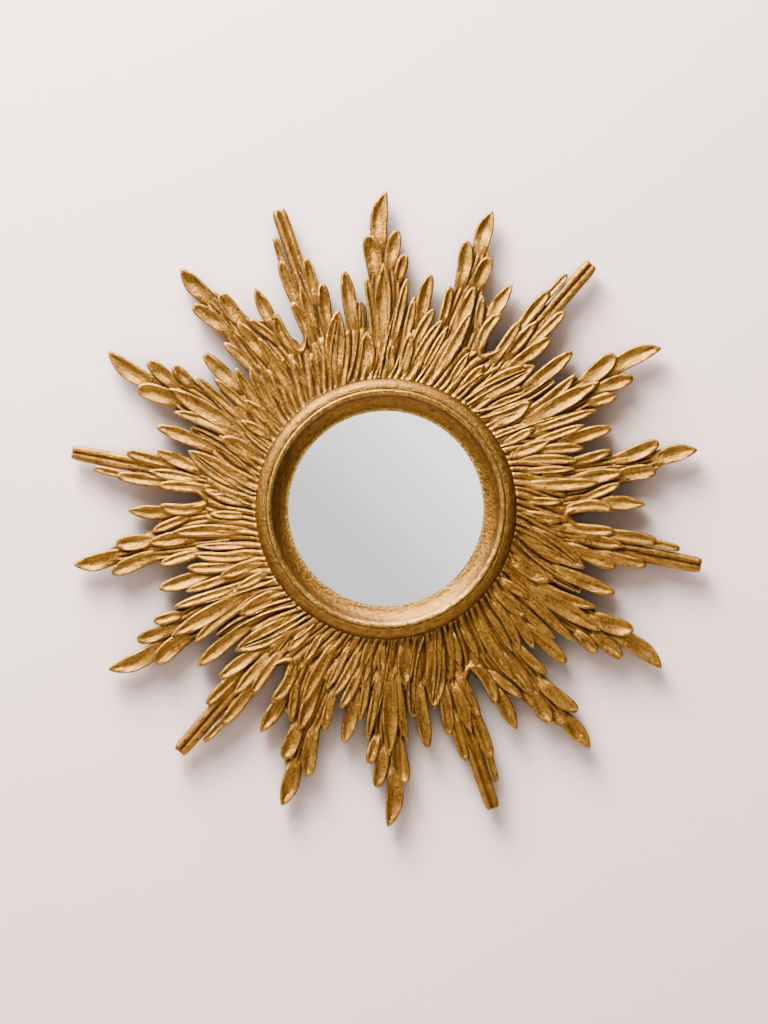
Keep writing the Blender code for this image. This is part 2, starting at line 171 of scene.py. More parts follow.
# How leaves and ribs are cut, in millimetres and shares of a leaf's length and width
BELLY = 0.62
ROOT_SHARE = 0.68
ROOT_LIFT = -1.5
ROOT_SINK = 5.0
ROOT_SINK_END = 0.35
ROOT_CROWN = 0.09
SCOOP_START = 0.12
SCOOP_OPENING = 0.5
TWIST = 1.2
WAVER = 0.2
VEIN_RISE = 0.4
CORE_LIFT = -2.0
CORE_GROOVE = 2.0
FLUTE_LIFT = -0.6
TIP_DROP = 1.2
TIP_DROP_START = 0.8
SQUARE_POINT = 5
THINNING = 0.8
BURIED_DEPTH = 26.0
RIB_RISE = 1.2
RIB_FOOT_DROP = 6.0
RIB_START_SHARE = 1.15
RIB_END_SHARE = 0.65
RIB_END_ROUND = 4
OUTWARD_WAVES = ((1.1, 2, 1.0), (0.8, 5, 2.2))
SIDEWAYS_WAVES = ((0.9, 3, 0.4), (0.6, 7, 1.3))
ROOT_THICKNESS = 0.022
TIP_THICKNESS = 0.0105

# The turned ring: its hidden spigot's step, the depth where its roll sits and the roll's height
SPIGOT_STEP = 0.011
ROLL_SEAT = 0.0243
ROLL_HEIGHT = 0.0102
FLOOR_HEIGHT = -1.7


class CarvingSettings(bpy.types.PropertyGroup):
    """Sizes of the carver's cuts."""

    rim_width: bpy.props.FloatProperty(
        name="Rim Width", description="From a leaf's edge to the crest of its rim",
        default=2.4 * MILLIMETRE, unit="LENGTH",
    )
    edge_round: bpy.props.FloatProperty(
        name="Edge Rounding", description="How far a rim rounds down at the leaf's edge",
        default=1.8 * MILLIMETRE, unit="LENGTH",
    )
    scoop_share: bpy.props.FloatProperty(
        name="Scoop", description="Depth of a leaf's scoop as a share of its width", default=0.2,
        subtype="FACTOR",
    )
    step: bpy.props.FloatProperty(
        name="Step", description="Distance between the cuts along a leaf", default=3.0 * MILLIMETRE,
        unit="LENGTH",
    )
    valley_depth: bpy.props.FloatProperty(
        name="Valley Depth", description="From the crests to the ground between them",
        default=5.5 * MILLIMETRE, unit="LENGTH",
    )
    ground_width: bpy.props.FloatProperty(
        name="Ground Width", description="Width of the ground around the ring",
        default=0.053, unit="LENGTH",
    )
    flutes: bpy.props.IntProperty(
        name="Flutes", description="Number of flutes around the ring in each sector", default=21, min=6,
    )
    flute_depth: bpy.props.FloatProperty(
        name="Flute Depth", description="Depth of the grooves between two flutes",
        default=3.2 * MILLIMETRE, unit="LENGTH",
    )
    flute_lean: bpy.props.FloatProperty(
        name="Flute Lean", description="How far the flutes lean from straight out",
        default=math.radians(18), subtype="ANGLE",
    )


class RingSettings(bpy.types.PropertyGroup):
    """Sizes of the turned ring's profile."""

    lip_width: bpy.props.FloatProperty(
        name="Lip Width", description="How far the ring laps over the glass", default=0.0025, unit="LENGTH",
    )
    cove_width: bpy.props.FloatProperty(
        name="Cove Width", description="From the sight edge to the bead", default=0.0175, unit="LENGTH",
    )
    bead_width: bpy.props.FloatProperty(
        name="Bead Width", description="Width of the bead inside the roll", default=0.0036, unit="LENGTH",
    )
    roll_width: bpy.props.FloatProperty(
        name="Roll Width", description="Width of the outer quarter round", default=0.0114, unit="LENGTH",
    )
    quirk_depth: bpy.props.FloatProperty(
        name="Quirk Depth", description="Depth of the cut between roll and bead", default=0.0015,
        unit="LENGTH",
    )


def colour_property(name, description, shown):
    """A colour setting with a hex default."""
    return bpy.props.StringProperty(name=name, description=description, default=shown)


class FinishSettings(bpy.types.PropertyGroup):
    """Colours of the finishes, as sRGB hex values."""

    leaf_gold: colour_property("Leaf Gold", "Gold leaf on the open faces", "#885B1E")
    pale_gold: colour_property("Pale Gold", "Gold leaf where it is thick and clean", "#AB7B2B")
    # The rubbed gold is also a painted highlight on the crests and on the ring's bead
    rubbed_gold_and_highlight: colour_property("Rubbed Gold", "Burnished crests and rims", "#E8B857")
    bole: colour_property("Bole", "Orange clay that shows through thin leaf", "#6B3A10")
    patina: colour_property("Patina", "Brown glaze and dirt in the hollows", "#361D08")
    speck: colour_property("Specks", "Fly-specks and pinholes", "#1E120A")
    pine: colour_property("Pine", "Aged pine of the back", "#A98558")
    pine_dark: colour_property("Dark Pine", "Late wood lines and dirt", "#6B4A2A")
    glass: colour_property("Glass", "Silvering seen through the glass", "#E9ECEC")
    wall: colour_property("Wall", "Matt wall paint", "#DAC3BC")
    # Colour of the painted shade on the wall where the carving shelters it
    wall_painted_shade: colour_property("Wall Dust", "Dust on the wall behind the carving", "#6E7263")
    floor: colour_property("Floor", "Pale floor", "#CFC9C0")


class StageSettings(bpy.types.PropertyGroup):
    """Camera and light."""

    camera_distance: bpy.props.FloatProperty(
        name="Camera Distance", description="From the rays to the camera", default=2.4178, unit="LENGTH",
    )
    lens: bpy.props.FloatProperty(name="Lens", description="Focal length in millimetres", default=85.0)
    light_power: bpy.props.FloatProperty(
        name="Light Power", description="Power of the large soft light", default=495.0, unit="POWER",
    )
    room_light: bpy.props.FloatProperty(
        name="Room Light", description="Strength of the light from the room", default=1.0,
    )


def linear(shown):
    """A hex sRGB colour as linear RGBA."""
    parts = [int(shown[i:i + 2], 16) / 255 for i in (1, 3, 5)]
    curve = [p / 12.92 if p <= 0.04045 else ((p + 0.055) / 1.055) ** 2.4 for p in parts]
    return (*curve, 1.0)


def add_node(tree, kind, feeds=None, **settings):
    """Adds a node with its settings. Each feed is a value, or another node's output to link."""
    made = tree.nodes.new(kind)
    for name, value in settings.items():
        setattr(made, name, value)
    for socket, value in (feeds or {}).items():
        if isinstance(value, bpy.types.NodeSocket):
            tree.links.new(value, made.inputs[socket])
        else:
            made.inputs[socket].default_value = value
    return made


def new_material(name):
    """An empty node material with its output node."""
    made = bpy.data.materials.new(name)
    made.use_nodes = True
    made.node_tree.nodes.clear()
    return made, made.node_tree


def millimetres(tree):
    """The object's own coordinates in millimetres, so each pattern's scale is per millimetre."""
    place = add_node(tree, "ShaderNodeTexCoord")
    return add_node(
        tree, "ShaderNodeVectorMath",
        {0: place.outputs["Object"], "Scale": 1 / MILLIMETRE}, operation="SCALE",
    ).outputs[0]


def polar(tree, place):
    """The direction from the mirror's axis and the distance from it, in millimetres."""
    flat = add_node(tree, "ShaderNodeVectorMath", {0: place, 1: (1, 0, 1)}, operation="MULTIPLY").outputs[0]
    direction = add_node(tree, "ShaderNodeVectorMath", {0: flat}, operation="NORMALIZE").outputs[0]
    distance = add_node(tree, "ShaderNodeVectorMath", {0: flat}, operation="LENGTH").outputs["Value"]
    return direction, distance


def gilding(name, colours, turned):
    """Water gilding on bole and gesso: a soft metal sheen that is burnished on the crests and glazed brown
    in the hollows. The crests and the ring's bead also carry a pale painted highlight in the colour. The
    carving has strokes that run outwards, and the turned ring has strokes around it."""
    made, tree = new_material(name)
    place = millimetres(tree)
    direction, distance = polar(tree, place)
    # Strokes to a turn of the mirror, over two pi, and to a millimetre outwards
    around, outwards = (16.0, 0.5) if turned else (95.0, 0.035)
    spread = add_node(
        tree, "ShaderNodeVectorMath", {0: direction, "Scale": around}, operation="SCALE",
    ).outputs[0]
    along = add_node(tree, "ShaderNodeMath", {0: distance, 1: outwards}, operation="MULTIPLY").outputs[0]
    lengthwise = add_node(tree, "ShaderNodeCombineXYZ", {"Y": along}).outputs[0]
    strokes_at = add_node(
        tree, "ShaderNodeVectorMath", {0: spread, 1: lengthwise}, operation="ADD",
    ).outputs[0]
    strokes = add_node(
        tree, "ShaderNodeTexNoise", {"Vector": strokes_at, "Scale": 1.0, "Detail": 3.0, "Roughness": 0.6},
    ).outputs["Fac"]
    clouds = add_node(
        tree, "ShaderNodeTexNoise", {"Vector": place, "Scale": 0.04, "Detail": 3.0, "Roughness": 0.55},
    ).outputs["Fac"]
    blotches = add_node(
        tree, "ShaderNodeTexNoise", {"Vector": place, "Scale": 0.22, "Detail": 4.0, "Roughness": 0.68},
    ).outputs["Fac"]
    # The real grain of gesso is finer than a tenth of a millimetre. It is drawn at about two to show.
    grain = add_node(
        tree, "ShaderNodeTexNoise", {"Vector": place, "Scale": 0.5, "Detail": 3.0, "Roughness": 0.75},
    ).outputs["Fac"]
    shelter = add_node(
        tree, "ShaderNodeAmbientOcclusion", {"Distance": 0.007}, samples=4,
    ).outputs["AO"]
    hollow = add_node(
        tree, "ShaderNodeMapRange",
        {"Value": shelter, "From Min": 0.22, "From Max": 0.78, "To Min": 1.0, "To Max": 0.0},
        interpolation_type="SMOOTHSTEP",
    ).outputs[0]
    # Convex crests: rubbed gilding and a painted highlight, both drawn in the rubbed gold colour
    thin = add_node(
        tree, "ShaderNodeAmbientOcclusion", {"Distance": 0.003}, samples=4, inside=True,
    ).outputs["AO"]
    crest = add_node(
        tree, "ShaderNodeMapRange",
        {"Value": thin, "From Min": 0.35, "From Max": 0.7, "To Min": 1.0, "To Max": 0.0},
        interpolation_type="SMOOTHSTEP",
    ).outputs[0]
    gold = add_node(
        tree, "ShaderNodeMix",
        {0: clouds, 6: linear(colours.leaf_gold), 7: linear(colours.pale_gold)}, data_type="RGBA",
    ).outputs[2]
    thin_leaf = add_node(
        tree, "ShaderNodeMapRange",
        {"Value": blotches, "From Min": 0.46, "From Max": 0.66, "To Min": 0.0, "To Max": 0.55},
        interpolation_type="SMOOTHSTEP",
    ).outputs[0]
    worn = add_node(
        tree, "ShaderNodeMix", {0: thin_leaf, 6: gold, 7: linear(colours.bole)}, data_type="RGBA",
    ).outputs[2]
    heights = add_node(
        tree, "ShaderNodeMath", {0: grain, 1: 1.0, 2: strokes}, operation="MULTIPLY_ADD",
    ).outputs[0]
    # The turned ring has a thin toning glaze all over
    toning = 0.34 if turned else 0.0
    dirt = add_node(
        tree, "ShaderNodeMapRange",
        {"Value": heights, "From Min": 0.78, "From Max": 1.14, "To Min": 0.8, "To Max": toning},
    ).outputs[0]
    stroked = add_node(
        tree, "ShaderNodeMix", {0: dirt, 6: worn, 7: linear(colours.patina)}, data_type="RGBA",
    ).outputs[2]
    glaze = add_node(tree, "ShaderNodeMath", {0: hollow, 1: 0.9}, operation="MULTIPLY").outputs[0]
    glazed = add_node(
        tree, "ShaderNodeMix", {0: glaze, 6: stroked, 7: linear(colours.patina)}, data_type="RGBA",
    ).outputs[2]
    most_rub_and_highlight = 0.75 if turned else 0.9
    rub_and_highlight_grain = add_node(
        tree, "ShaderNodeMapRange",
        {"Value": grain, "From Min": 0.38, "From Max": 0.6, "To Min": 0.1, "To Max": most_rub_and_highlight},
    ).outputs[0]
    # Hands and cloths also rub a line on the carving's feet at the ring; the pale line on the ring's bead
    # is partly such rubbing and partly a painted highlight
    middle, reach = (116.6, 3.0) if turned else (131.2, 1.6)
    kept = add_node(
        tree, "ShaderNodeMapRange",
        {"Value": blotches, "From Min": 0.45, "From Max": 0.62, "To Min": 0.0, "To Max": 0.8},
    ).outputs[0]
    on_line = add_node(
        tree, "ShaderNodeMath", {0: distance, 1: middle, 2: reach}, operation="COMPARE",
    ).outputs[0]
    line_rub_and_highlight = add_node(tree, "ShaderNodeMath", {0: on_line, 1: kept}, operation="MULTIPLY").outputs[0]
    rub_and_highlight_mask = add_node(tree, "ShaderNodeMath", {0: crest, 1: line_rub_and_highlight}, operation="MAXIMUM").outputs[0]
    rub_and_highlight_share = add_node(tree, "ShaderNodeMath", {0: rub_and_highlight_mask, 1: rub_and_highlight_grain}, operation="MULTIPLY").outputs[0]
    gold_rubbed_and_highlit = add_node(
        tree, "ShaderNodeMix", {0: rub_and_highlight_share, 6: glazed, 7: linear(colours.rubbed_gold_and_highlight)}, data_type="RGBA",
    ).outputs[2]
    # Fly-specks up to two and a half millimetres across, in cells of about six millimetres
    cells = add_node(tree, "ShaderNodeTexVoronoi", {"Vector": place, "Scale": 0.17, "Randomness": 1.0})
    chosen = add_node(
        tree, "ShaderNodeSeparateColor", {0: cells.outputs["Color"]},
    ).outputs["Red"]
    size = add_node(
        tree, "ShaderNodeMapRange",
        {"Value": chosen, "From Min": 0.3, "From Max": 1.0, "To Min": 0.03, "To Max": 0.21},
    ).outputs[0]
    nearness = add_node(
        tree, "ShaderNodeMath", {0: size, 1: cells.outputs["Distance"]}, operation="SUBTRACT",
    ).outputs[0]
    speck = add_node(
        tree, "ShaderNodeMapRange",
        {"Value": nearness, "From Min": 0.0, "From Max": 0.03, "To Min": 0.0, "To Max": 0.95},
    ).outputs[0]
    specked = add_node(
        tree, "ShaderNodeMix", {0: speck, 6: gold_rubbed_and_highlit, 7: linear(colours.speck)}, data_type="RGBA",
    ).outputs[2]
    facing = add_node(tree, "ShaderNodeNewGeometry").outputs["True Normal"]
    backwards = add_node(tree, "ShaderNodeSeparateXYZ", {0: facing}).outputs["Y"]
    behind = add_node(
        tree, "ShaderNodeMapRange",
        {"Value": backwards, "From Min": 0.7, "From Max": 0.95, "To Min": 0.0, "To Max": 1.0},
    ).outputs[0]
    # The back is bare wood, with a grain that runs up and down in lines about three millimetres apart
    upright = add_node(
        tree, "ShaderNodeVectorMath", {0: place, 1: (1.0, 1.0, 0.05)}, operation="MULTIPLY",
    ).outputs[0]
    fibre = add_node(
        tree, "ShaderNodeTexNoise", {"Vector": upright, "Scale": 0.3, "Detail": 4.0, "Roughness": 0.65},
    ).outputs["Fac"]
    aged = add_node(
        tree, "ShaderNodeMapRange",
        {"Value": fibre, "From Min": 0.35, "From Max": 0.65, "To Min": 0.0, "To Max": 0.55},
    ).outputs[0]
    wood = add_node(
        tree, "ShaderNodeMix", {0: aged, 6: linear(colours.pine_dark), 7: linear(colours.pine)},
        data_type="RGBA",
    ).outputs[2]
    colour = add_node(
        tree, "ShaderNodeMix", {0: behind, 6: specked, 7: wood}, data_type="RGBA",
    ).outputs[2]
    dull = add_node(tree, "ShaderNodeMath", {0: hollow, 1: behind}, operation="MAXIMUM").outputs[0]
    metal = add_node(
        tree, "ShaderNodeMapRange",
        {"Value": dull, "From Min": 0.0, "From Max": 1.0, "To Min": 0.87, "To Max": 0.35},
    ).outputs[0]
    smoothness = add_node(
        tree, "ShaderNodeMath", {0: grain, 1: 0.3, 2: 0.22}, operation="MULTIPLY_ADD",
    ).outputs[0]
    dulled = add_node(
        tree, "ShaderNodeMath", {0: dull, 1: 0.2, 2: smoothness}, operation="MULTIPLY_ADD",
    ).outputs[0]
    roughness = add_node(
        tree, "ShaderNodeMath", {0: rub_and_highlight_mask, 1: -0.1, 2: dulled}, operation="MULTIPLY_ADD",
    ).outputs[0]
    relief = add_node(
        tree, "ShaderNodeMath", {0: blotches, 1: 1.6, 2: heights}, operation="MULTIPLY_ADD",
    ).outputs[0]
    bump = add_node(
        tree, "ShaderNodeBump", {"Strength": 1.0, "Distance": 0.00055, "Height": relief},
    ).outputs[0]
    shader = add_node(
        tree, "ShaderNodeBsdfPrincipled",
        {"Base Color": colour, "Metallic": metal, "Roughness": roughness, "Normal": bump},
    )
    add_node(tree, "ShaderNodeOutputMaterial", {"Surface": shader.outputs[0]})
    return made


def silvered_glass(colours):
    """Silvered float glass: a clear even mirror with a trace of haze."""
    made, tree = new_material("silvered_float_glass")
    place = millimetres(tree)
    haze = add_node(
        tree, "ShaderNodeTexNoise", {"Vector": place, "Scale": 0.02, "Detail": 2.0},
    ).outputs["Fac"]
    roughness = add_node(
        tree, "ShaderNodeMapRange",
        {"Value": haze, "From Min": 0.3, "From Max": 0.7, "To Min": 0.01, "To Max": 0.035},
    ).outputs[0]
    shader = add_node(
        tree, "ShaderNodeBsdfPrincipled",
        {"Base Color": linear(colours.glass), "Metallic": 1.0, "Roughness": roughness},
    )
    add_node(tree, "ShaderNodeOutputMaterial", {"Surface": shader.outputs[0]})
    return made


def aged_pine(colours):
    """Unfinished pine with a year-ring grain that runs up the board."""
    made, tree = new_material("aged_pine")
    place = millimetres(tree)
    stretched = add_node(
        tree, "ShaderNodeVectorMath", {0: place, 1: (1.0, 1.0, 0.1)}, operation="MULTIPLY",
    ).outputs[0]
    sway = add_node(
        tree, "ShaderNodeTexNoise", {"Vector": stretched, "Scale": 0.012, "Detail": 1.0},
    ).outputs["Fac"]
    # Year rings from four to ten millimetres apart on a flat-sawn board
    years = add_node(tree, "ShaderNodeMath", {0: sway, 1: 150.0}, operation="MULTIPLY").outputs[0]
    swing = add_node(tree, "ShaderNodeMath", {0: years}, operation="SINE").outputs[0]
    rings = add_node(
        tree, "ShaderNodeMapRange",
        {"Value": swing, "From Min": -0.4, "From Max": 1.0, "To Min": 0.0, "To Max": 1.0},
    ).outputs[0]
    fibre = add_node(
        tree, "ShaderNodeTexNoise", {"Vector": stretched, "Scale": 0.7, "Detail": 4.0, "Roughness": 0.7},
    ).outputs["Fac"]
    mixed = add_node(
        tree, "ShaderNodeMath", {0: rings, 1: fibre}, operation="MULTIPLY",
    ).outputs[0]
    shade = add_node(
        tree, "ShaderNodeMath", {0: sway, 1: 0.5, 2: mixed}, operation="MULTIPLY_ADD",
    ).outputs[0]
    colour = add_node(
        tree, "ShaderNodeMix",
        {0: shade, 6: linear(colours.pine), 7: linear(colours.pine_dark)}, data_type="RGBA",
    ).outputs[2]
    bump = add_node(
        tree, "ShaderNodeBump", {"Strength": 0.4, "Distance": 0.0003, "Height": fibre},
    ).outputs[0]
    shader = add_node(
        tree, "ShaderNodeBsdfPrincipled",
        {"Base Color": colour, "Roughness": 0.75, "Normal": bump},
    )
    add_node(tree, "ShaderNodeOutputMaterial", {"Surface": shader.outputs[0]})
    return made


def wall_paint(colours):
    """Matt wall paint, with painted shade where the carving shelters it. It is there only for what looks at
    its front, so the mirror's back can be seen.
    """
    made, tree = new_material("matt_wall_paint")
    place = millimetres(tree)
    unevenness = add_node(
        tree, "ShaderNodeTexNoise", {"Vector": place, "Scale": 0.15, "Detail": 4.0},
    ).outputs["Fac"]
    bump = add_node(
        tree, "ShaderNodeBump", {"Strength": 0.15, "Distance": 0.0004, "Height": unevenness},
    ).outputs[0]
    near = add_node(
        tree, "ShaderNodeAmbientOcclusion", {"Distance": 0.03}, samples=4,
    ).outputs["AO"]
    painted_shade_share = add_node(
        tree, "ShaderNodeMapRange",
        {"Value": near, "From Min": 0.15, "From Max": 0.85, "To Min": 0.75, "To Max": 0.0},
        interpolation_type="SMOOTHSTEP",
    ).outputs[0]
    # Painted shade: the paint is darkened where the carving shelters it, in place of the carving's shadow
    # on the wall
    colour = add_node(
        tree, "ShaderNodeMix",
        {0: painted_shade_share, 6: linear(colours.wall), 7: linear(colours.wall_painted_shade)}, data_type="RGBA",
    ).outputs[2]
    paint = add_node(
        tree, "ShaderNodeBsdfPrincipled", {"Base Color": colour, "Roughness": 0.9, "Normal": bump},
    ).outputs[0]
    rear = add_node(tree, "ShaderNodeNewGeometry").outputs["Backfacing"]
    passed = add_node(tree, "ShaderNodeLightPath").outputs["Transparent Depth"]
    open_path = add_node(
        tree, "ShaderNodeMath", {0: rear, 1: passed}, operation="ADD", use_clamp=True,
    ).outputs[0]
    nothing = add_node(tree, "ShaderNodeBsdfTransparent").outputs[0]
    seen = add_node(tree, "ShaderNodeMixShader", {0: open_path, 1: paint, 2: nothing}).outputs[0]
    add_node(tree, "ShaderNodeOutputMaterial", {"Surface": seen})
    return made


def pale_floor(colours):
    """Plain pale floor."""
    made, tree = new_material("pale_floor")
    place = millimetres(tree)
    clouds = add_node(
        tree, "ShaderNodeTexNoise", {"Vector": place, "Scale": 0.004, "Detail": 3.0},
    ).outputs["Fac"]
    roughness = add_node(
        tree, "ShaderNodeMapRange",
        {"Value": clouds, "From Min": 0.3, "From Max": 0.7, "To Min": 0.7, "To Max": 0.85},
    ).outputs[0]
    shader = add_node(
        tree, "ShaderNodeBsdfPrincipled", {"Base Color": linear(colours.floor), "Roughness": roughness},
    )
    add_node(tree, "ShaderNodeOutputMaterial", {"Surface": shader.outputs[0]})
    return made


def deselect():
    for obj in bpy.context.selected_objects:
        obj.select_set(False)


def finish_piece(piece, node, material):
    """Gives the piece its finish and body and lets it stand for its CAD node."""
    piece.data.materials.clear()
    piece.data.materials.append(material)
    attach(piece, BODY)
    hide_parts(node)


def smooth(piece, degrees):
    """Smooth shading with edges kept where faces meet at more than the angle."""
    deselect()
    piece.select_set(True)
    bpy.context.view_layer.objects.active = piece
    bpy.ops.object.shade_smooth_by_angle(angle=math.radians(degrees))


def apply_modifiers(piece):
    deselect()
    piece.select_set(True)
    bpy.context.view_layer.objects.active = piece
    for modifier in list(piece.modifiers):
        bpy.ops.object.modifier_apply(modifier=modifier.name)


def set_points(piece, points):
    """Moves all of the mesh's vertices to new places."""
    piece.data.vertices.foreach_set("co", np.ascontiguousarray(points, dtype=np.float32).ravel())
    piece.data.update()


def get_points(piece):
    points = np.empty(len(piece.data.vertices) * 3, np.float32)
    piece.data.vertices.foreach_get("co", points)
    return points.reshape(-1, 3).astype(float)


def block(name, across, along):
    """A flat grid extruded into a closed block: x and y run from -1 to 1, and z from 0 to 1."""
    deselect()
    bpy.ops.mesh.primitive_grid_add(x_subdivisions=across, y_subdivisions=along, size=2)
    made = bpy.context.object
    made.name = name
    bpy.ops.object.mode_set(mode="EDIT")
    bpy.ops.mesh.select_all(action="SELECT")
    bpy.ops.mesh.extrude_region_move(TRANSFORM_OT_translate={"value": (0, 0, 1)})
    bpy.ops.object.mode_set(mode="OBJECT")
    return made


def crest_thickness(share):
    """Thickness of the carving at its crests, which thins from the ring to the tips."""
    return ROOT_THICKNESS + (TIP_THICKNESS - ROOT_THICKNESS) * np.maximum(share, 0) ** THINNING


def hand_shift(points):
    """The slight unevenness of hand carving, which fades out towards the ring."""
    x, z = points[:, 0], points[:, 2]
    angle = np.arctan2(z, x)
    fade = np.clip((np.hypot(x, z) - RING_RADIUS) / (RAY_LENGTH / 3), 0, 1) * MILLIMETRE
    outward = sum(size * np.sin(waves * angle + phase) for size, waves, phase in OUTWARD_WAVES) * fade
    sideways = sum(size * np.sin(waves * angle + phase) for size, waves, phase in SIDEWAYS_WAVES) * fade
    shift = np.zeros_like(points)
    shift[:, 0] = np.cos(angle) * outward - np.sin(angle) * sideways
    shift[:, 2] = np.sin(angle) * outward + np.cos(angle) * sideways
    return shift


def carved_points(drawn, raised, turn):
    """The drawing's points on the real carving: raised by so many millimetres above the crest line, in the
    sector that is turned by so many radians from the top one."""
    radius = np.hypot(drawn[:, 0], drawn[:, 1])
    share = (radius - DRAWN_RING) / (DRAWN_REACH - DRAWN_RING)
    scale = (RING_RADIUS + share * RAY_LENGTH) / radius
    x, z = drawn[:, 0] * scale, drawn[:, 1] * scale
    points = np.empty((len(drawn), 3))
    points[:, 0] = x * math.cos(turn) - z * math.sin(turn)
    points[:, 1] = -(CARVING_BACK + crest_thickness(share) + raised * MILLIMETRE)
    points[:, 2] = x * math.sin(turn) + z * math.cos(turn)
    return points + hand_shift(points)


def bowed_line(start, end, bow, s):
    """Points of the bowed middle line and the directions to its left."""
    a, b = np.array(start, float), np.array(end, float)
    left = np.array((a[1] - b[1], b[0] - a[0])) / np.hypot(*(b - a))
    bend = (a + b) / 2 + left * 2 * bow
    s = s[:, None]
    line = a * (1 - s) ** 2 + bend * 2 * s * (1 - s) + b * s * s
    run = (bend - a) * (1 - s) + (b - bend) * s
    run /= np.hypot(run[:, 0], run[:, 1])[:, None]
    return line, np.stack((-run[:, 1], run[:, 0]), axis=1)


def leaf_half_width(leaf, s):
    """Half-width of a leaf along its length: widest at the belly and closed at the tip as point says."""
    swelling = ROOT_SHARE + (1 - ROOT_SHARE) * np.sin(np.pi / 2 * np.clip(s / BELLY, 0, 1))
    q = np.clip((s - BELLY) / (1 - BELLY), 0, 1)
    closing = (1 - q ** leaf.point) ** (1 / leaf.point)
    blunt = 0.08 if leaf.point < SQUARE_POINT else 0.8
    return leaf.width / 2 * np.where(s < BELLY, swelling, np.maximum(closing, blunt))


def ridged(f):
    """Round ridges with sharp grooves between them: 0 in a groove and 1 on a crest, once for each unit."""
    return 1 - np.abs(2 * (f % 1) - 1) ** 2.4


def leaf_height(leaf, number, u, s, half, cuts):
    """Height of a leaf's face above the crest line: a spoon-shaped scoop inside a rounded rim. The root
    sinks into the wood that it grows from, and each leaf twists and wavers a little in its own way."""
    rim = ROOT_LIFT + (leaf.lift - ROOT_LIFT) * s
    rim = rim - ROOT_SINK * np.clip(1 - s / ROOT_SINK_END, 0, 2) ** 1.5
    rim = rim - TIP_DROP * np.clip((s - TIP_DROP_START) / (1 - TIP_DROP_START), 0, 1)
    rim = rim + TWIST * math.sin(7.3 * number) * u * np.sin(np.pi * np.clip(s, 0, 1))
    rim = rim + WAVER * np.sin(2 * np.pi * (2.3 * s + 0.37 * number) + 1.5 * u)
    length = math.dist(leaf.root, leaf.tip)
    to_side = (1 - np.abs(u)) * half + 1e-6
    to_tip = (1 - s) * length + 1e-6
    inside = to_side * to_tip / np.hypot(to_side, to_tip)
    rim_width = cuts.rim_width / MILLIMETRE
    crest = min(rim_width, 0.22 * leaf.width)
    shoulder = np.clip(1 - inside / crest, 0, 1)
    drop = cuts.edge_round / MILLIMETRE * (1 - np.sqrt(1 - shoulder ** 2))
    sunk = np.clip((inside - crest) / (leaf.width / 2 - crest), 0, 1)
    opening = np.clip((s - SCOOP_START) / SCOOP_OPENING, 0, 1)
    scoop = cuts.scoop_share * leaf.width * (1 - (1 - sunk) ** 2.2) * opening
    scoop = scoop - ROOT_CROWN * leaf.width * (1 - u ** 2) * (1 - opening)
    vein = VEIN_RISE * np.exp(-((u + 0.15) / 0.22) ** 2) * opening * (number % 2)
    return rim - drop - scoop + vein


def core_height(leaf, u, s):
    """Height of a ray's body, which shows between its leaves as flutes that run along it."""
    crest = CORE_LIFT + 0.5 * np.sin(9 * s + leaf.width)
    shoulder = np.clip((np.abs(u) - 0.85) / 0.15, 0, 1)
    return crest - CORE_GROOVE * (1 - ridged(core_flutes(leaf) * (u + 1) / 2)) - 3 * shoulder ** 2


def core_flutes(leaf):
    return round(leaf.width / 5.2)


def reed_height(leaf, u, s):
    """Height of the reeds' face: two half-round reeds side by side, rounded over at the end."""
    radius = leaf.width / 4
    across = np.abs(np.abs(u) - 0.5) / 0.5
    bulge = radius * (np.sqrt(1 - 0.94 * across ** 2) - 1)
    rim = ROOT_LIFT + (leaf.lift - ROOT_LIFT) * s
    over = np.clip((s - 0.965) / 0.035, 0, 1)
    return rim + bulge - TIP_DROP * (1 - np.sqrt(1 - over ** 2)) * 2


def core_block(leaf, number, cuts):
    """The body of a ray as a block in the drawing: its points across and out, and their heights."""
    length = math.dist(leaf.root, leaf.tip)
    made = block(f"core_{number}", 5 * core_flutes(leaf), round(length * MILLIMETRE / cuts.step / 1.4))
    grid = get_points(made)
    u = grid[:, 0]
    s = (grid[:, 1] + 1) / 2
    line, left = bowed_line(leaf.root, leaf.tip, leaf.bow, s)
    drawn = line - left * (u * leaf_half_width(leaf, s))[:, None]
    return made, drawn, np.where(grid[:, 2] > 0.5, core_height(leaf, u, s), -BURIED_DEPTH)


def leaf_block(leaf, number, cuts):
    """One leaf as a block in the drawing: its points across and out, and their heights."""
    length = math.dist(leaf.root, leaf.tip)
    along = max(8, round(length * MILLIMETRE / cuts.step))
    made = block(f"leaf_{number}", 10, along)
    grid = get_points(made)
    u = -np.cos(np.pi * (grid[:, 0] + 1) / 2)
    t = (grid[:, 1] + 1) / 2
    start = -0.12 if leaf.point < SQUARE_POINT else 0.0
    towards_tip = BELLY + (1 - BELLY) * np.sin(np.pi / 2 * (t - 0.5) / 0.5)
    s = np.where(t < 0.5, start + (BELLY - start) * t / 0.5, towards_tip)
    half = leaf_half_width(leaf, s)
    line, left = bowed_line(leaf.root, leaf.tip, leaf.bow, s)
    top = grid[:, 2] > 0.5
    undercut = np.where(top, 1.0, 0.94)
    drawn = line - left * (u * half * undercut)[:, None]
    if leaf.point < SQUARE_POINT:
        heights = leaf_height(leaf, number, u, s, half, cuts)
    else:
        heights = reed_height(leaf, u, s)
    return made, drawn, np.where(top, heights, -BURIED_DEPTH)


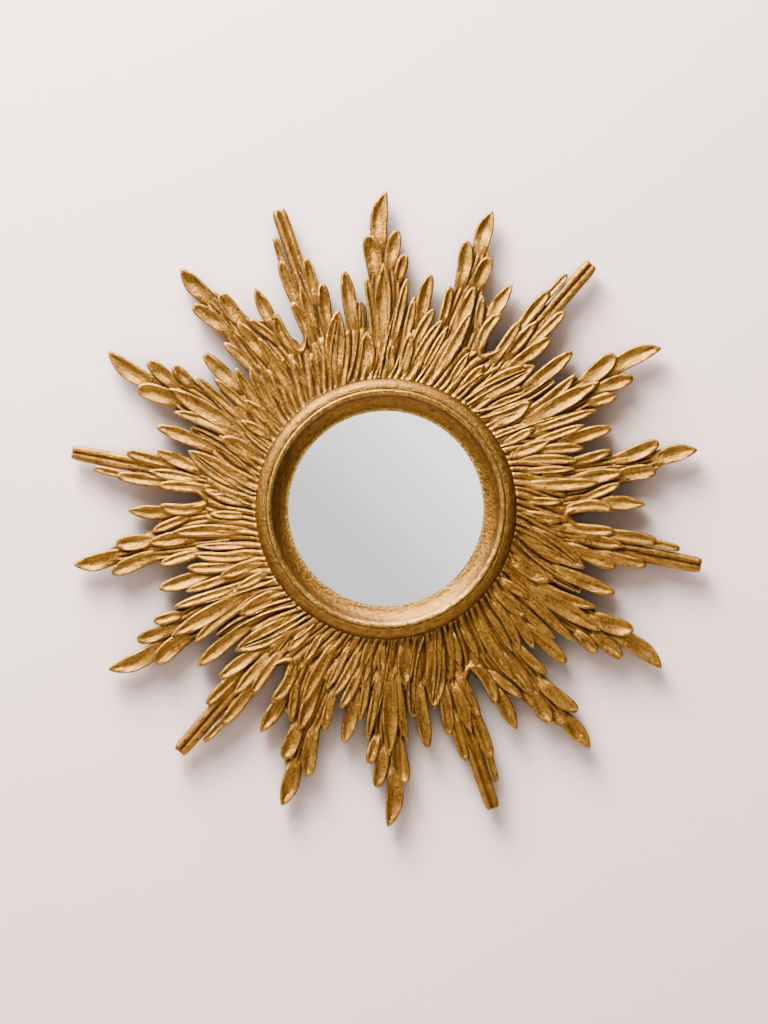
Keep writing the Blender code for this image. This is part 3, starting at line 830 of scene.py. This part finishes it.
def rib_block(rib, number, cuts):
    """One narrow round-topped rib as a block in the drawing."""
    length = math.dist(rib.foot, rib.end)
    made = block(f"rib_{number}", 8, round(length * MILLIMETRE / cuts.step))
    grid = get_points(made)
    u = -np.cos(np.pi * (grid[:, 0] + 1) / 2)
    s = (grid[:, 1] + 1) / 2
    line, left = bowed_line(rib.foot, rib.end, rib.bow, s)
    to_end = np.minimum(s, 1 - s) * length
    narrowing = np.sqrt(1 - 0.97 * np.clip(1 - to_end / RIB_END_ROUND, 0, 1) ** 2)
    half = rib.width / 2 * (RIB_START_SHARE + (RIB_END_SHARE - RIB_START_SHARE) * s) * narrowing
    drawn = line - left * (u * half)[:, None]
    heights = RIB_RISE - (RIB_RISE + RIB_FOOT_DROP) * np.abs(u) ** 2.2
    return made, drawn, np.where(grid[:, 2] > 0.5, heights, -BURIED_DEPTH)


def turned(name, profile, steps):
    """A solid of revolution about the Y axis, spun from a profile of (radius, depth) points. The profile
    either runs round a ring's section or starts and ends on the axis."""
    deselect()
    bpy.ops.mesh.primitive_circle_add(vertices=len(profile), radius=1)
    made = bpy.context.object
    made.name = name
    corners = [(radius, -depth, 0.0) for radius, depth in profile]
    set_points(made, np.array(corners))
    bpy.ops.object.mode_set(mode="EDIT")
    bpy.ops.mesh.select_all(action="SELECT")
    bpy.ops.mesh.spin(steps=steps, angle=2 * math.pi, center=(0, 0, 0), axis=(0, 1, 0))
    bpy.ops.mesh.select_all(action="SELECT")
    bpy.ops.mesh.remove_doubles(threshold=1e-6)
    bpy.ops.mesh.normals_make_consistent(inside=False)
    bpy.ops.object.mode_set(mode="OBJECT")
    return made


def arc(centre, radii, start, end, steps):
    """Points on an ellipse's arc about the centre, with angles in degrees."""
    angles = [math.radians(start + (end - start) * i / steps) for i in range(steps + 1)]
    return [
        (centre[0] + radii[0] * math.cos(a), centre[1] + radii[1] * math.sin(a))
        for a in angles
    ]


class MIRROR_OT_carve_sunburst(bpy.types.Operator):
    """Carve the six sectors of leaves, reeds and ribs as one piece"""

    bl_idname = "mirror.carve_sunburst"
    bl_label = "Carve Sunburst"

    def execute(self, context):
        cuts = context.scene.mirror_carving
        group = bpy.data.collections.new("leaves")
        context.scene.collection.children.link(group)
        leaves = REED_RAY + FLAME_RAY + LEAF_RAY + SPRIGS + FEET
        blocks = [core_block(leaf, i, cuts) for i, leaf in enumerate(CORES)]
        blocks += [leaf_block(leaf, i, cuts) for i, leaf in enumerate(leaves)]
        blocks += [rib_block(rib, i, cuts) for i, rib in enumerate(RIBS)]
        for made, drawn, raised in blocks:
            for k in range(SECTORS):
                copy = bpy.data.objects.new(f"{made.name}_{k}", made.data.copy())
                group.objects.link(copy)
                set_points(copy, carved_points(drawn, raised, k * 2 * math.pi / SECTORS))
            bpy.data.objects.remove(made, do_unlink=True)
        for copy in group.objects:
            face_outwards(copy)
        carving = carved_ground(cuts)
        join = carving.modifiers.new("leaves", "BOOLEAN")
        join.operation = "UNION"
        join.operand_type = "COLLECTION"
        join.collection = group
        join.solver = "MANIFOLD"
        cutter = back_cutter(cuts)
        cut = carving.modifiers.new("back", "BOOLEAN")
        cut.operation = "DIFFERENCE"
        cut.solver = "MANIFOLD"
        cut.object = cutter
        apply_modifiers(carving)
        for copy in list(group.objects):
            bpy.data.objects.remove(copy, do_unlink=True)
        bpy.data.collections.remove(group)
        bpy.data.objects.remove(cutter, do_unlink=True)
        smooth(carving, 38)
        gold = gilding("water_gilding_on_carving", context.scene.mirror_finish, turned=False)
        finish_piece(carving, "sunburst", gold)
        return {"FINISHED"}


def face_outwards(piece):
    """Turns the block's faces outwards if its shaping turned it inside out."""
    mesh = piece.data
    points = get_points(piece)
    mesh.calc_loop_triangles()
    corners = np.empty(len(mesh.loop_triangles) * 3, np.int32)
    mesh.loop_triangles.foreach_get("vertices", corners)
    a, b, c = (points[corners.reshape(-1, 3)[:, i]] for i in range(3))
    if np.einsum("ij,ij->i", a, np.cross(b, c)).sum() < 0:
        mesh.flip_normals()


def carved_ground(cuts):
    """The disc that the leaves grow from, cut in flutes that lean to one side as they run out."""
    inner = RING_RADIUS - 0.005
    outer = RING_RADIUS + cuts.ground_width
    rows = round((outer - inner) / 3.4 / MILLIMETRE)
    front = 1.0
    profile = [(inner + (outer - inner) * i / rows, front) for i in range(rows + 1)]
    profile += [(outer, CARVING_BACK - 4 * MILLIMETRE), (inner, CARVING_BACK - 4 * MILLIMETRE)]
    count = SECTORS * cuts.flutes
    ground = turned("carved_sunburst", profile, count * 6)
    points = get_points(ground)
    radius = np.hypot(points[:, 0], points[:, 2])
    around = np.arctan2(points[:, 0], points[:, 2])
    number = np.floor(around / (2 * math.pi) * count + 1e-4)
    crest = FLUTE_LIFT + 0.7 * np.sin(2.4 * number) + 0.4 * np.sin(110 * radius + 1.7 * number)
    groove = cuts.flute_depth / MILLIMETRE * (1 - ridged(around / (2 * math.pi) * count))
    over = np.clip((radius - outer + 3 * MILLIMETRE) / (3 * MILLIMETRE), 0, 1)
    raised = (crest - groove - 3 * over ** 2) * MILLIMETRE
    depth = CARVING_BACK + crest_thickness((radius - RING_RADIUS) / RAY_LENGTH) + raised
    widths = 0.006 * np.sin(37 * around + 1) + 0.0045 * np.sin(59 * around + 2)
    sway = 0.012 * np.sin(90 * (radius - RING_RADIUS) + 3 * around)
    around = around + widths + sway + math.tan(cuts.flute_lean) * np.log(radius / RING_RADIUS)
    points[:, 0] = radius * np.sin(around)
    points[:, 2] = radius * np.cos(around)
    points[:, 1] = np.where(points[:, 1] < -0.5, -depth, points[:, 1])
    set_points(ground, points)
    return ground


def back_cutter(cuts):
    """One turned cutter: the ring's seat and bore, and the back, which lifts a little towards the tips."""
    far = 0.09
    wide = 0.35
    land = CARVING_BACK + ROOT_THICKNESS - cuts.valley_depth - 0.8 * MILLIMETRE
    hole = RING_RADIUS - SPIGOT_STEP + GAP
    seat = RING_RADIUS + GAP
    flat_end = RING_RADIUS + cuts.ground_width + 4 * MILLIMETRE
    profile = [
        (0, far),
        (seat, far),
        (seat, land),
        (hole, land),
        (hole, CARVING_BACK),
        (flat_end, CARVING_BACK),
        (wide, CARVING_BACK + 2 * MILLIMETRE),
        (wide, -far),
        (0, -far),
    ]
    return turned("back_cutter", profile, 144)


class MIRROR_OT_turn_ring(bpy.types.Operator):
    """Turn the gilded ring with its roll, bead and cove"""

    bl_idname = "mirror.turn_ring"
    bl_label = "Turn Ring"

    def execute(self, context):
        sizes = context.scene.mirror_ring
        sight = GLASS_RADIUS - sizes.lip_width
        rebate = GLASS_RADIUS + MILLIMETRE
        bead_inner = sight + sizes.cove_width
        bead_outer = bead_inner + sizes.bead_width
        spigot = RING_RADIUS - SPIGOT_STEP
        roll_base = ROLL_SEAT + 0.003
        bead_radius = sizes.bead_width / 2
        bead_base = RING_FRONT - 0.0006 - bead_radius
        lip_back = GLASS_FRONT + GAP
        lip_front = lip_back + 0.002
        roll_width = sizes.roll_width - 0.0016
        roll = arc((RING_RADIUS - roll_width, roll_base), (roll_width, ROLL_HEIGHT), 0, 95, 18)
        bead_top = bead_base + bead_radius
        bead = arc((bead_outer - bead_radius, bead_base), (bead_radius, bead_radius), 0, 90, 6)
        fall = arc((bead_outer - bead_radius, bead_top - 0.005), (0.0046, 0.005), 90, 150, 7)
        cove_edge, cove_top = fall[-1]
        cove = arc((sight, cove_top), (cove_edge - sight, cove_top - lip_front), 0, -90, 18)
        profile = (
            [(spigot, CARVING_BACK), (spigot, ROLL_SEAT), (RING_RADIUS, ROLL_SEAT)]
            + roll
            + [(bead_outer + 0.0004, bead_base - sizes.quirk_depth)]
            + [(bead_outer, bead_base - sizes.quirk_depth + 0.0004)]
            + bead
            + fall[1:]
            + cove[1:]
            + [(sight, lip_back), (rebate, lip_back), (rebate, CARVING_BACK)]
        )
        ring = turned("turned_ring", profile, 192)
        smooth(ring, 40)
        gold = gilding("water_gilding_on_ring", context.scene.mirror_finish, turned=True)
        finish_piece(ring, "ring_moulding", gold)
        return {"FINISHED"}


class MIRROR_OT_cut_glass(bpy.types.Operator):
    """Cut the round mirror glass and grind its edge"""

    bl_idname = "mirror.cut_glass"
    bl_label = "Cut Glass"

    def execute(self, context):
        deselect()
        depth = GLASS_FRONT - GLASS_BACK
        bpy.ops.mesh.primitive_cylinder_add(
            vertices=144, radius=GLASS_RADIUS, depth=depth, rotation=(math.pi / 2, 0, 0),
            location=(0, -(GLASS_FRONT + GLASS_BACK) / 2, 0),
        )
        glass = context.object
        glass.name = "round_mirror_glass"
        bpy.ops.object.transform_apply(location=True, rotation=True, scale=True)
        bpy.ops.object.mode_set(mode="EDIT")
        bpy.ops.mesh.select_mode(type="FACE")
        bpy.ops.mesh.select_all(action="DESELECT")
        bpy.ops.object.mode_set(mode="OBJECT")
        for face in glass.data.polygons:
            face.select = abs(face.normal.y) > 0.9
        bpy.ops.object.mode_set(mode="EDIT")
        bpy.ops.mesh.bevel(offset=0.5 * MILLIMETRE, segments=2, affect="EDGES")
        bpy.ops.object.mode_set(mode="OBJECT")
        for face in glass.data.polygons:
            face.use_smooth = False
        finish_piece(glass, "mirror_glass", silvered_glass(context.scene.mirror_finish))
        return {"FINISHED"}


class MIRROR_OT_fit_board(bpy.types.Operator):
    """Fit the backing board with its keyhole"""

    bl_idname = "mirror.fit_board"
    bl_label = "Fit Backing Board"

    def execute(self, context):
        rebate = GLASS_RADIUS + MILLIMETRE - GAP
        thickness = CARVING_BACK - GAP
        bevel = 2 * MILLIMETRE
        profile = [
            (0, BOARD_FRONT),
            (rebate, BOARD_FRONT),
            (rebate, thickness),
            (BOARD_RADIUS - MILLIMETRE / 2, thickness),
            (BOARD_RADIUS, thickness - MILLIMETRE / 2),
            (BOARD_RADIUS, bevel),
            (BOARD_RADIUS - bevel, 0),
            (0, 0),
        ]
        board = turned("keyhole_board", profile, 144)
        cutter = keyhole_cutter()
        cut = board.modifiers.new("keyhole", "BOOLEAN")
        cut.operation = "DIFFERENCE"
        cut.object = cutter
        apply_modifiers(board)
        bpy.data.objects.remove(cutter, do_unlink=True)
        smooth(board, 30)
        finish_piece(board, "backing_board", aged_pine(context.scene.mirror_finish))
        return {"FINISHED"}


def keyhole_cutter():
    """A round hole with a narrow slot above it."""
    height, head, slot, slot_length = 0.118, 0.006, 0.0025, 0.012
    lean = math.degrees(math.asin(slot / head))
    outline = arc((0, height), (head, head), 90 - lean, lean - 270, 32)
    outline += arc((0, height + slot_length), (slot, slot), 180, 0, 12)
    deselect()
    bpy.ops.mesh.primitive_circle_add(vertices=len(outline), radius=1, fill_type="NGON")
    cutter = bpy.context.object
    set_points(cutter, np.array([(x, 0.004, z) for x, z in outline]))
    bpy.ops.object.mode_set(mode="EDIT")
    bpy.ops.mesh.select_all(action="SELECT")
    bpy.ops.mesh.extrude_region_move(TRANSFORM_OT_translate={"value": (0, -0.009, 0)})
    bpy.ops.mesh.select_all(action="SELECT")
    bpy.ops.mesh.normals_make_consistent(inside=False)
    bpy.ops.object.mode_set(mode="OBJECT")
    return cutter


class MIRROR_OT_set_stage(bpy.types.Operator):
    """Set up the wall, floor, light and camera"""

    bl_idname = "mirror.set_stage"
    bl_label = "Set Stage"

    def execute(self, context):
        settings = context.scene.mirror_stage
        colours = context.scene.mirror_finish
        deselect()
        bpy.ops.mesh.primitive_plane_add(
            size=1, location=(0, 0.0006, FLOOR_HEIGHT + 2), rotation=(math.pi / 2, 0, 0),
        )
        wall = context.object
        wall.name = "wall"
        wall.scale = (7.0, 4.0, 1.0)
        wall.data.materials.append(wall_paint(colours))
        deselect()
        bpy.ops.mesh.primitive_plane_add(size=5.6, location=(0, 0, FLOOR_HEIGHT))
        floor = context.object
        floor.name = "floor"
        floor.data.materials.append(pale_floor(colours))
        add_light("window_light", (-0.8, -1.05, 1.9), 2.3, settings.light_power * 0.7)
        add_light("window_core", (-0.75, -1.0, 1.85), 0.8, settings.light_power * 0.3)
        add_light("rear_light", (1.2, 2.0, 1.4), 1.8, settings.light_power / 3)
        add_room_light(settings.room_light)
        add_camera(settings)
        return {"FINISHED"}


def add_light(name, place, size, power):
    """A large soft light that points at the mirror."""
    light = bpy.data.lights.new(name, "AREA")
    light.shape = "DISK"
    light.size = size
    light.energy = power
    lamp = bpy.data.objects.new(name, light)
    lamp.location = place
    lamp.rotation_euler = (-Vector(place)).to_track_quat("-Z", "Y").to_euler()
    bpy.context.scene.collection.objects.link(lamp)


def add_room_light(strength):
    """Light from the room: brighter towards the window side, with the pale far end that the glass shows."""
    world = bpy.data.worlds.new("room")
    world.use_nodes = True
    tree = world.node_tree
    tree.nodes.clear()
    towards = add_node(tree, "ShaderNodeTexCoord").outputs["Generated"]
    to_window = add_node(
        tree, "ShaderNodeVectorMath", {0: towards, 1: (-0.35, 0.1, 0.93)}, operation="DOT_PRODUCT",
    ).outputs["Value"]
    ambient = add_node(
        tree, "ShaderNodeMapRange",
        {"Value": to_window, "From Min": -0.5, "From Max": 0.95, "To Min": 0.09, "To Max": 0.72},
    ).outputs[0]
    to_corner = add_node(
        tree, "ShaderNodeVectorMath", {0: towards, 1: (0.7, 0.0, 0.7)}, operation="DOT_PRODUCT",
    ).outputs["Value"]
    far_end = add_node(
        tree, "ShaderNodeMapRange",
        {"Value": to_corner, "From Min": -0.03, "From Max": 0.055, "To Min": 1.25, "To Max": 2.6},
        interpolation_type="SMOOTHSTEP",
    ).outputs[0]
    facing = add_node(tree, "ShaderNodeSeparateXYZ", {0: towards}).outputs["Y"]
    in_glass = add_node(
        tree, "ShaderNodeMapRange",
        {"Value": facing, "From Min": -0.97, "From Max": -0.99, "To Min": 0.0, "To Max": 1.0},
        interpolation_type="SMOOTHSTEP",
    ).outputs[0]
    brightness = add_node(
        tree, "ShaderNodeMix", {0: in_glass, 2: ambient, 3: far_end}, data_type="FLOAT",
    ).outputs[0]
    total = add_node(tree, "ShaderNodeMath", {0: brightness, 1: strength}, operation="MULTIPLY").outputs[0]
    shader = add_node(
        tree, "ShaderNodeBackground", {"Color": (1.0, 0.985, 0.965, 1.0), "Strength": total},
    )
    add_node(tree, "ShaderNodeOutputWorld", {"Surface": shader.outputs[0]})
    bpy.context.scene.world = world


def add_camera(settings):
    """A straight view. The mirror's middle lies 1.9 mm right of and 3.4 mm above the picture's."""
    camera = bpy.data.cameras.new("camera")
    camera.lens = settings.lens
    camera.sensor_width = 36.0
    camera.clip_end = 50.0
    viewer = bpy.data.objects.new("camera", camera)
    viewer.location = (-0.0019, -0.018 - settings.camera_distance, -0.0034)
    viewer.rotation_euler = (math.pi / 2, 0, 0)
    bpy.context.scene.collection.objects.link(viewer)
    bpy.context.scene.camera = viewer


class MIRROR_PT_panel(bpy.types.Panel):
    """The mirror's pieces and settings in the sidebar"""

    bl_label = "Sunburst Mirror"
    bl_idname = "MIRROR_PT_panel"
    bl_space_type = "VIEW_3D"
    bl_region_type = "UI"
    bl_category = "Mirror"

    def draw(self, context):
        layout = self.layout
        for operator in OPERATORS:
            layout.operator(operator.bl_idname)
        for name in SETTINGS:
            box = layout.box()
            group = getattr(context.scene, name)
            for field in group.__annotations__:
                box.prop(group, field)


OPERATORS = (
    MIRROR_OT_carve_sunburst,
    MIRROR_OT_turn_ring,
    MIRROR_OT_cut_glass,
    MIRROR_OT_fit_board,
    MIRROR_OT_set_stage,
)
SETTINGS = {
    "mirror_carving": CarvingSettings,
    "mirror_ring": RingSettings,
    "mirror_finish": FinishSettings,
    "mirror_stage": StageSettings,
}


def register():
    for group in SETTINGS.values():
        bpy.utils.register_class(group)
    for operator in OPERATORS:
        bpy.utils.register_class(operator)
    bpy.utils.register_class(MIRROR_PT_panel)
    for name, group in SETTINGS.items():
        setattr(bpy.types.Scene, name, bpy.props.PointerProperty(type=group))


def unregister():
    for name in SETTINGS:
        delattr(bpy.types.Scene, name)
    bpy.utils.unregister_class(MIRROR_PT_panel)
    for operator in reversed(OPERATORS):
        bpy.utils.unregister_class(operator)
    for group in reversed(list(SETTINGS.values())):
        bpy.utils.unregister_class(group)


def main():
    register()
    bpy.ops.mirror.carve_sunburst()
    bpy.ops.mirror.turn_ring()
    bpy.ops.mirror.cut_glass()
    bpy.ops.mirror.fit_board()
    bpy.ops.mirror.set_stage()


if __name__ == "__main__":
    main()
